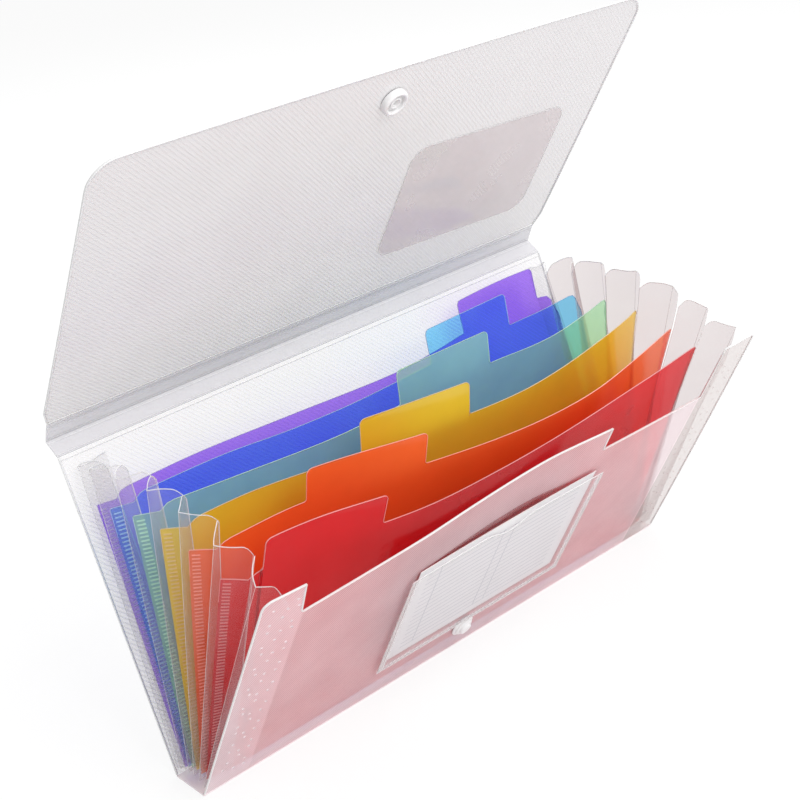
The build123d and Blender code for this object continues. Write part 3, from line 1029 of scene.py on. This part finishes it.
def make_pocket():
    top = pocket_path()
    left = [(-pocket_half, pocket_low), (-pocket_half, pocket_top)]
    right_and_foot = [(pocket_half, pocket_top), (pocket_half, pocket_low), (-pocket_half, pocket_low)]
    net = Net()
    skin(net, top, lambda x: pocket_low, pocket_surf, 16)
    for rim in (finer(left, 3), top, finer(right_and_foot, 3)):
        edge(net, rim, pocket_surf, pocket_rim, pocket_thick)
    weld_pocket(net)
    looks = [pocket_plastic, film_edge_and_highlight, weld_plastic]
    dress(net, "label_pocket_look", looks, "front", "film", "label_pocket")


make_pocket()

# Ruled card in the pocket
card_half, card_low, card_height = 47.8, pocket_low + band + 0.5, 61.2
card_raise, card_dip, card_rim, card_thick = 0.45, 0.5, 0.25, 0.3


def card_surf(x, s):
    """A point on the card, which sags with the pocket's film."""
    return pocket_spot(x, s, half_cover + card_raise - sag(x, s, card_dip))


def make_card():
    top = finer([(-card_half, card_low + card_height), (card_half, card_low + card_height)], 4)
    net = Net()
    skin(net, top, lambda x: card_low, card_surf, 14)
    edge(net, top, card_surf, card_rim, card_thick)
    dress(net, "card_look", [card_paper, cut_edge_and_highlight], "card", "card", "index_card")


make_card()

# Press stud on the front and its socket in the flap, each with its disc on the other side of the sheet
stud_profile = (
    (0, 0), (5.2, 0), (5.2, 0.35), (4.9, 0.6), (4.3, 0.7), (4.15, 0.9), (4.1, 1.2), (3.8, 1.45),
    (3.0, 1.5), (2.75, 1.7), (2.7, 2.2), (2.5, 2.5), (1.9, 2.7), (1.0, 2.75), (0, 2.75),
)
socket_profile = (
    (5.4, 0), (5.4, 1.5), (5.2, 2.1), (4.7, 2.5), (4.1, 2.5), (3.75, 2.1), (3.6, 1.0), (2.6, 0.9),
    (2.5, 1.7), (2.2, 2.0), (1.7, 1.95), (1.5, 1.6), (1.4, 0.7), (0, 0.6),
)
backing_profile = ((0, 0), (5.0, 0), (5.0, 0.3), (4.7, 0.5), (0, 0.5))
cap_profile = ((0, 0), (5.0, 0), (5.0, 0.25), (4.6, 0.5), (0, 0.5))
stud_size, socket_size = 1.07, 1.06


def make_snap(piece, centre, axis, profile, body, size=1.0):
    net = Net()
    lathe(net, centre, axis, [(size * r, size * h) for r, h in profile])
    dress(net, f"{piece}_look", [snap_plastic], body, "snap", f"snap_{piece}")


stud_way, socket_way = front_of(leans[front_sheet]), front_of(flap_lean)
stud_seat = spot(front_sheet, 0, stud_height, half_cover)
backing_seat = spot(front_sheet, 0, stud_height, -half_cover)
socket_seat = flap_spot(0, socket_height, half_cover)
cap_seat = flap_spot(0, socket_height, -half_cover)
make_snap("stud", stud_seat, stud_way, stud_profile, "front", stud_size)
make_snap("backing", backing_seat, -stud_way, backing_profile, "front")
make_snap("socket", socket_seat, socket_way, socket_profile, "flap", socket_size)
make_snap("cap", cap_seat, -socket_way, cap_profile, "flap")

# Floor, light and camera, in metres
scene = bpy.context.scene


def make_floor():
    """A pale floor that the view shows nearly white, and that keeps the object's shadow."""
    reach, grey, glow_share = 6, 0.94, 0.82
    mesh = bpy.data.meshes.new("floor")
    corners = [(-reach, -reach, 0), (reach, -reach, 0), (reach, reach, 0), (-reach, reach, 0)]
    mesh.from_pydata(corners, [], [(0, 1, 2, 3)])
    floor = bpy.data.objects.new("floor", mesh)
    scene.collection.objects.link(floor)
    material, look = new_material("floor")
    body = look.add("ShaderNodeBsdfDiffuse", {"Color": (grey, grey, grey, 1)})
    glow = look.add("ShaderNodeEmission", {"Strength": 1.0})
    share = look.maths("MULTIPLY", look.seen(), glow_share)
    surface = look.mix(share, body.outputs["BSDF"], glow.outputs["Emission"])
    look.add("ShaderNodeOutputMaterial", {"Surface": surface})
    mesh.materials.append(material)


def make_world():
    """Even light from all round, which the view shows as white."""
    white, sky_strength = (1.0, 1.0, 1.0, 1), 0.78
    world = bpy.data.worlds.new("studio")
    scene.world = world
    world.use_nodes = True
    look = Look(world.node_tree)
    sky = look.add("ShaderNodeBackground", {"Color": white, "Strength": sky_strength})
    backdrop = look.add("ShaderNodeBackground", {"Color": white, "Strength": 1.0})
    surface = look.mix(look.seen(), sky.outputs["Background"], backdrop.outputs["Background"])
    look.add("ShaderNodeOutputWorld", {"Surface": surface})


def make_lamp(name, stand, aim, size, power):
    """A square soft light that faces its aim."""
    data = bpy.data.lights.new(name, "AREA")
    data.size = size
    data.energy = power
    lamp = bpy.data.objects.new(name, data)
    scene.collection.objects.link(lamp)
    lamp.location = stand
    lamp.rotation_euler = (Vector(aim) - Vector(stand)).to_track_quat("-Z", "Y").to_euler()


def make_camera():
    """The photograph's view, from a focal length in pixels and the directions of its frame."""
    focal_pixels, frame_pixels, sensor = 1589.98, 800, 36.0
    right = Vector((0.73908, -0.66570, -0.10296))
    down = Vector((-0.34841, -0.24696, -0.90422))
    forward = Vector((0.57652, 0.70417, -0.41446))
    data = bpy.data.cameras.new("camera")
    data.sensor_width = sensor
    data.lens = focal_pixels / frame_pixels * sensor
    data.clip_start = 0.01
    camera = bpy.data.objects.new("camera", data)
    scene.collection.objects.link(camera)
    pose = Matrix.Identity(4)
    for row in range(3):
        pose[row][0], pose[row][1], pose[row][2] = right[row], -down[row], -forward[row]
    pose.translation = Vector((-0.37248, -0.44809, 0.38005))
    camera.matrix_world = pose
    scene.camera = camera


light_aim = (0, 0, 0.06)
make_floor()
make_world()
make_lamp("key", (0.1, -0.8, 1.0), light_aim, 0.8, 10.0)
make_lamp("rim", (0.6, 0.7, 0.8), light_aim, 0.9, 4.0)
make_camera()
scene.cycles.max_bounces = 16
scene.cycles.transparent_max_bounces = 96
scene.view_settings.view_transform = "Standard"
